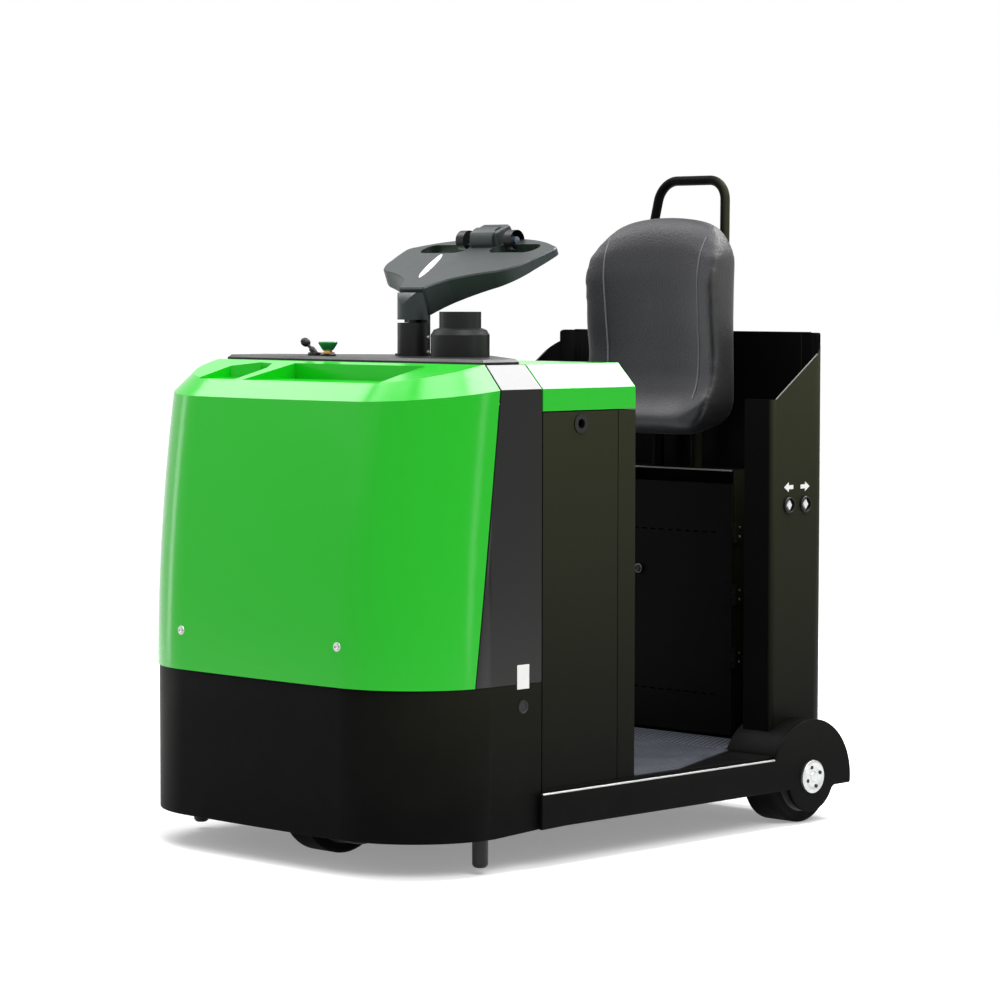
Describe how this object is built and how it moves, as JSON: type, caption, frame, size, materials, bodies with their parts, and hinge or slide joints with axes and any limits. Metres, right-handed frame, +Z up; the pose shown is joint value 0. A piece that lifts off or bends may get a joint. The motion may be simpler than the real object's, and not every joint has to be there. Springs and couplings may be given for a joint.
{
  "type": "stand-on electric tow tractor",
  "caption": "Compact three-wheel stand-on electric tow tractor with a steered front drive wheel, low floor, lean seat and rear tow coupling.",
  "frame": {"origin": "on the floor under the middle of the outline box", "axes": "+X forward, +Y left, +Z up"},
  "size_m": [1.387, 0.906, 1.369],
  "materials": {
    "green_paint": "gloss green paint",
    "green_plastic": "gloss green moulding",
    "black_paint": "fine-textured black powder coat",
    "black_plastic": "satin black moulding",
    "head_plastic": "grained dark grey moulding",
    "battery_case": "dull grey case",
    "mat_rubber": "studded anti-slip rubber",
    "seat_skin": "grained polyurethane skin",
    "cast_iron": "dark cast iron",
    "bare_steel": "zinc-plated steel",
    "motor_paint": "dark grey motor paint",
    "tyre": "smooth solid tyre"
  },
  "bodies": {
    "chassis": {"front_skirt": "black_paint", "hood": "green_paint", "mid_hoop": "black_paint", "console": "black_plastic", "battery_cover": "green_paint", "battery_bulkhead": "black_paint", "battery_side_left": "black_paint", "battery_side_right": "black_paint", "panel_rings": "black_plastic", "battery_block": "battery_case", "base_frame": "black_paint", "floor_mat": "mat_rubber", "side_plate_left": "black_paint", "side_plate_right": "black_paint", "wheel_cover_left": "black_paint", "wheel_cover_right": "black_paint", "load_axles": "bare_steel", "tip_studs": "black_plastic", "drive_carrier": "black_paint", "steering_column": "black_plastic", "instrument_pod": "black_plastic", "emergency_stop": "green_plastic", "key_switch": "black_plastic", "wing_left": "black_paint", "wing_right": "black_paint", "rear_wall": "black_paint", "seat_box": "black_paint", "seat_pad": "seat_skin", "seat_frame": "black_paint", "grab_handle": "black_paint", "inching_buttons": "black_plastic", "tow_coupling": "cast_iron"},
    "drive_unit": {"turn_plate": "cast_iron", "drive_motor": "motor_paint", "gearbox": "cast_iron"},
    "drive_wheel": {"drive_hub": "cast_iron", "drive_tyre": "tyre"},
    "steering_handle": {"steering_knuckle": "head_plastic", "steering_head": "head_plastic"},
    "load_wheel_left": {"load_hub_left": "cast_iron", "load_tyre_left": "tyre"},
    "load_wheel_right": {"load_hub_right": "cast_iron", "load_tyre_right": "tyre"},
    "box_door": {"box_door": "black_paint"},
    "tow_pin": {"tow_pin": "bare_steel"}
  },
  "joints": [
    {"name": "drive_steer", "type": "hinge", "parent": "chassis", "child": "drive_unit", "pos_m": [0.4855, 0, 0.115], "axis": [0, 0, 1], "range_deg": [-90, 90]},
    {"name": "drive_wheel_roll", "type": "hinge", "parent": "drive_unit", "child": "drive_wheel", "pos_m": [0.4855, 0, 0.115], "axis": [0, 1, 0], "continuous": true},
    {"name": "handle_turn", "type": "hinge", "parent": "chassis", "child": "steering_handle", "pos_m": [0.2635, 0, 1.052], "axis": [0, 0, 1], "range_deg": [-90, 90]},
    {"name": "load_wheel_left_roll", "type": "hinge", "parent": "chassis", "child": "load_wheel_left", "pos_m": [-0.4675, 0.3795, 0.099], "axis": [0, 1, 0], "continuous": true},
    {"name": "load_wheel_right_roll", "type": "hinge", "parent": "chassis", "child": "load_wheel_right", "pos_m": [-0.4675, -0.3795, 0.099], "axis": [0, 1, 0], "continuous": true},
    {"name": "box_door_swing", "type": "hinge", "parent": "chassis", "child": "box_door", "pos_m": [-0.4917, 0.2105, 0.43], "axis": [0, 0, 1], "range_deg": [0, 95]},
    {"name": "tow_pin_lift", "type": "slide", "parent": "chassis", "child": "tow_pin", "axis": [0, 0, 1], "range_m": [0, 0.09]}
  ],
  "couplings": [
    {"joint": "handle_turn", "follows": "drive_steer", "ratio": 1}
  ]
}
